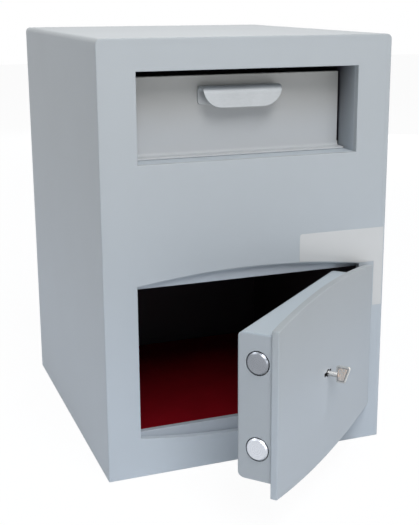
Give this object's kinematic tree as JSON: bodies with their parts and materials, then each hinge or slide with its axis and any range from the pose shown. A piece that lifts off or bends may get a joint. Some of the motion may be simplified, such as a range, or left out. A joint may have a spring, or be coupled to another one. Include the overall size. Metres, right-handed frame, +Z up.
{
  "type": "drop safe with deposit drawer",
  "caption": "Floor-standing steel drop safe: a sliding deposit drawer with a turning trap flap above an arched, key-locked door with round bolts.",
  "frame": {"origin": "middle of the cabinet's footprint, at floor level", "axes": "+Z up, front towards -Y, +X to the right when facing the front"},
  "size_m": [0.35, 0.589, 0.5],
  "materials": {
    "silver_paint": "semi-gloss silver grey powder coat",
    "dark_paint": "matte black",
    "satin_silver": "satin silver",
    "zinc": "bright zinc plating",
    "chrome": "polished",
    "nickel": "nickel plated, slightly warm",
    "nylon": "natural nylon",
    "red_carpet": "dark red needle felt"
  },
  "bodies": {
    "cabinet": {"outer_casing": "silver_paint", "front_panel": "silver_paint", "back_panel": "silver_paint", "base_plate": "dark_paint", "floor_carpet": "red_carpet", "door_frame": "silver_paint", "slot_sleeve": "silver_paint", "housing_side_right": "dark_paint", "housing_side_left": "dark_paint", "drawer_hood": "dark_paint", "anti_fish_comb": "dark_paint", "runner_outer_right": "zinc", "runner_outer_left": "zinc", "hinge_bracket_upper": "dark_paint", "hinge_bracket_lower": "dark_paint", "hinge_pin_upper": "zinc", "hinge_pin_lower": "zinc"},
    "drawer": {"drawer_front": "silver_paint", "drawer_handle": "satin_silver", "drawer_side_right": "zinc", "drawer_side_left": "zinc", "drawer_floor": "zinc", "flap_hinge_rod": "zinc", "runner_inner_right": "zinc", "runner_inner_left": "zinc"},
    "runner_right": {"runner_middle_right": "zinc"},
    "runner_left": {"runner_middle_left": "zinc"},
    "flap": {"trap_flap": "zinc", "flap_cam_rod": "zinc", "glide_bush_right": "nylon", "glide_bush_left": "nylon"},
    "door": {"door_plate": "silver_paint", "door_rear_case": "silver_paint", "hinge_arm_upper": "dark_paint", "hinge_arm_lower": "dark_paint", "lock_case": "zinc", "bolt_guide_upper": "zinc", "bolt_guide_lower": "zinc"},
    "boltwork": {"bolt_upper": "chrome", "bolt_lower": "chrome", "bolt_plate": "zinc"},
    "key_set": {"key": "nickel", "lock_barrel": "nickel", "lock_cam": "zinc"}
  },
  "joints": [
    {"name": "drawer_slide", "type": "slide", "parent": "cabinet", "child": "drawer", "axis": [0, -1, 0], "range_m": [0, 0.15]},
    {"name": "runner_right_slide", "type": "slide", "parent": "cabinet", "child": "runner_right", "axis": [0, -1, 0], "range_m": [0, 0.0751]},
    {"name": "runner_left_slide", "type": "slide", "parent": "cabinet", "child": "runner_left", "axis": [0, -1, 0], "range_m": [0, 0.0751]},
    {"name": "flap_turn", "type": "hinge", "parent": "drawer", "child": "flap", "pos_m": [0, 0.006, 0.373], "axis": [1, 0, 0], "range_deg": [0, 150.1]},
    {"name": "door_swing", "type": "hinge", "parent": "cabinet", "child": "door", "pos_m": [0.158, -0.1825, 0.145], "axis": [0, 0, 1], "range_deg": [-41.5, 53.5]},
    {"name": "bolt_throw", "type": "slide", "parent": "door", "child": "boltwork", "axis": [-0.749, -0.6626, 0], "range_m": [0, 0.02]},
    {"name": "key_turn", "type": "hinge", "parent": "door", "child": "key_set", "pos_m": [0.05006, -0.30136, 0.139], "axis": [0.6626, -0.749, 0], "range_deg": [0, 90.1]}
  ],
  "couplings": [
    {"joint": "runner_right_slide", "follows": "drawer_slide", "ratio": 0.5},
    {"joint": "runner_left_slide", "follows": "drawer_slide", "ratio": 0.5},
    {"joint": "flap_turn", "follows": "drawer_slide", "rad_per_m": 17.453},
    {"joint": "key_turn", "follows": "bolt_throw", "rad_per_m": 78.54}
  ]
}
